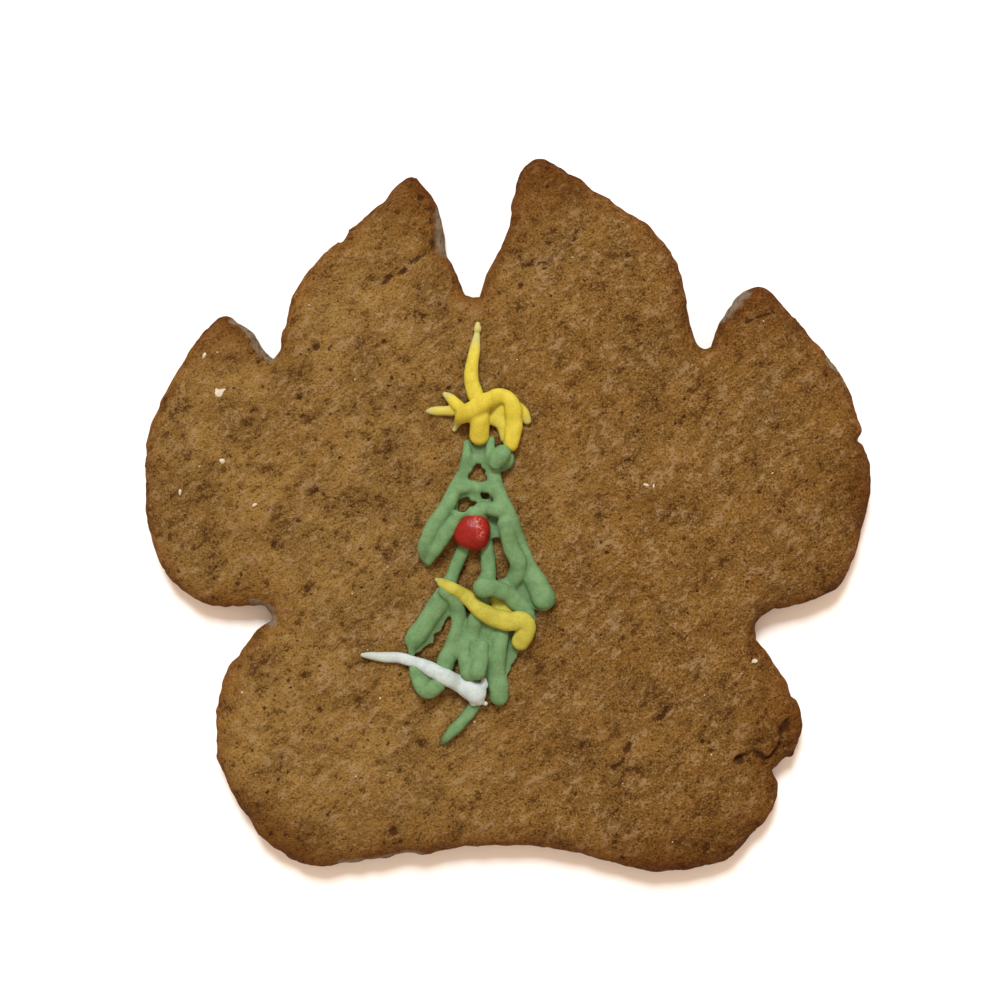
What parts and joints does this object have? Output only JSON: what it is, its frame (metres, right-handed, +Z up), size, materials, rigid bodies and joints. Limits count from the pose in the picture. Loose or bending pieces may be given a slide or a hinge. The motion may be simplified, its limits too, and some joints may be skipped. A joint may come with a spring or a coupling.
{
  "type": "gingerbread cookie",
  "caption": "Flat paw-shaped gingerbread cookie with rounded edges, decorated with a fir tree piped on top in coloured icing.",
  "frame": {"origin": "middle of the cookie's outline, on the flat base it rests on", "axes": "+X to the cookie's right seen from above, +Y towards its two longest claws, +Z up through its thickness, out of the iced face"},
  "size_m": [0.1086, 0.1067, 0.0115],
  "materials": {
    "gingerbread": "matt, finely mottled baked crumb",
    "icing_green": "satin dried icing",
    "icing_yellow": "satin dried icing",
    "icing_white": "satin dried icing",
    "icing_red": "glossy dried icing"
  },
  "bodies": {
    "root": {"cookie_gingerbread": "gingerbread", "icing_tree_green": "icing_green", "icing_star_yellow": "icing_yellow", "icing_garland_yellow": "icing_yellow", "icing_garland_white": "icing_white", "icing_bauble_red": "icing_red"}
  },
  "joints": []
}
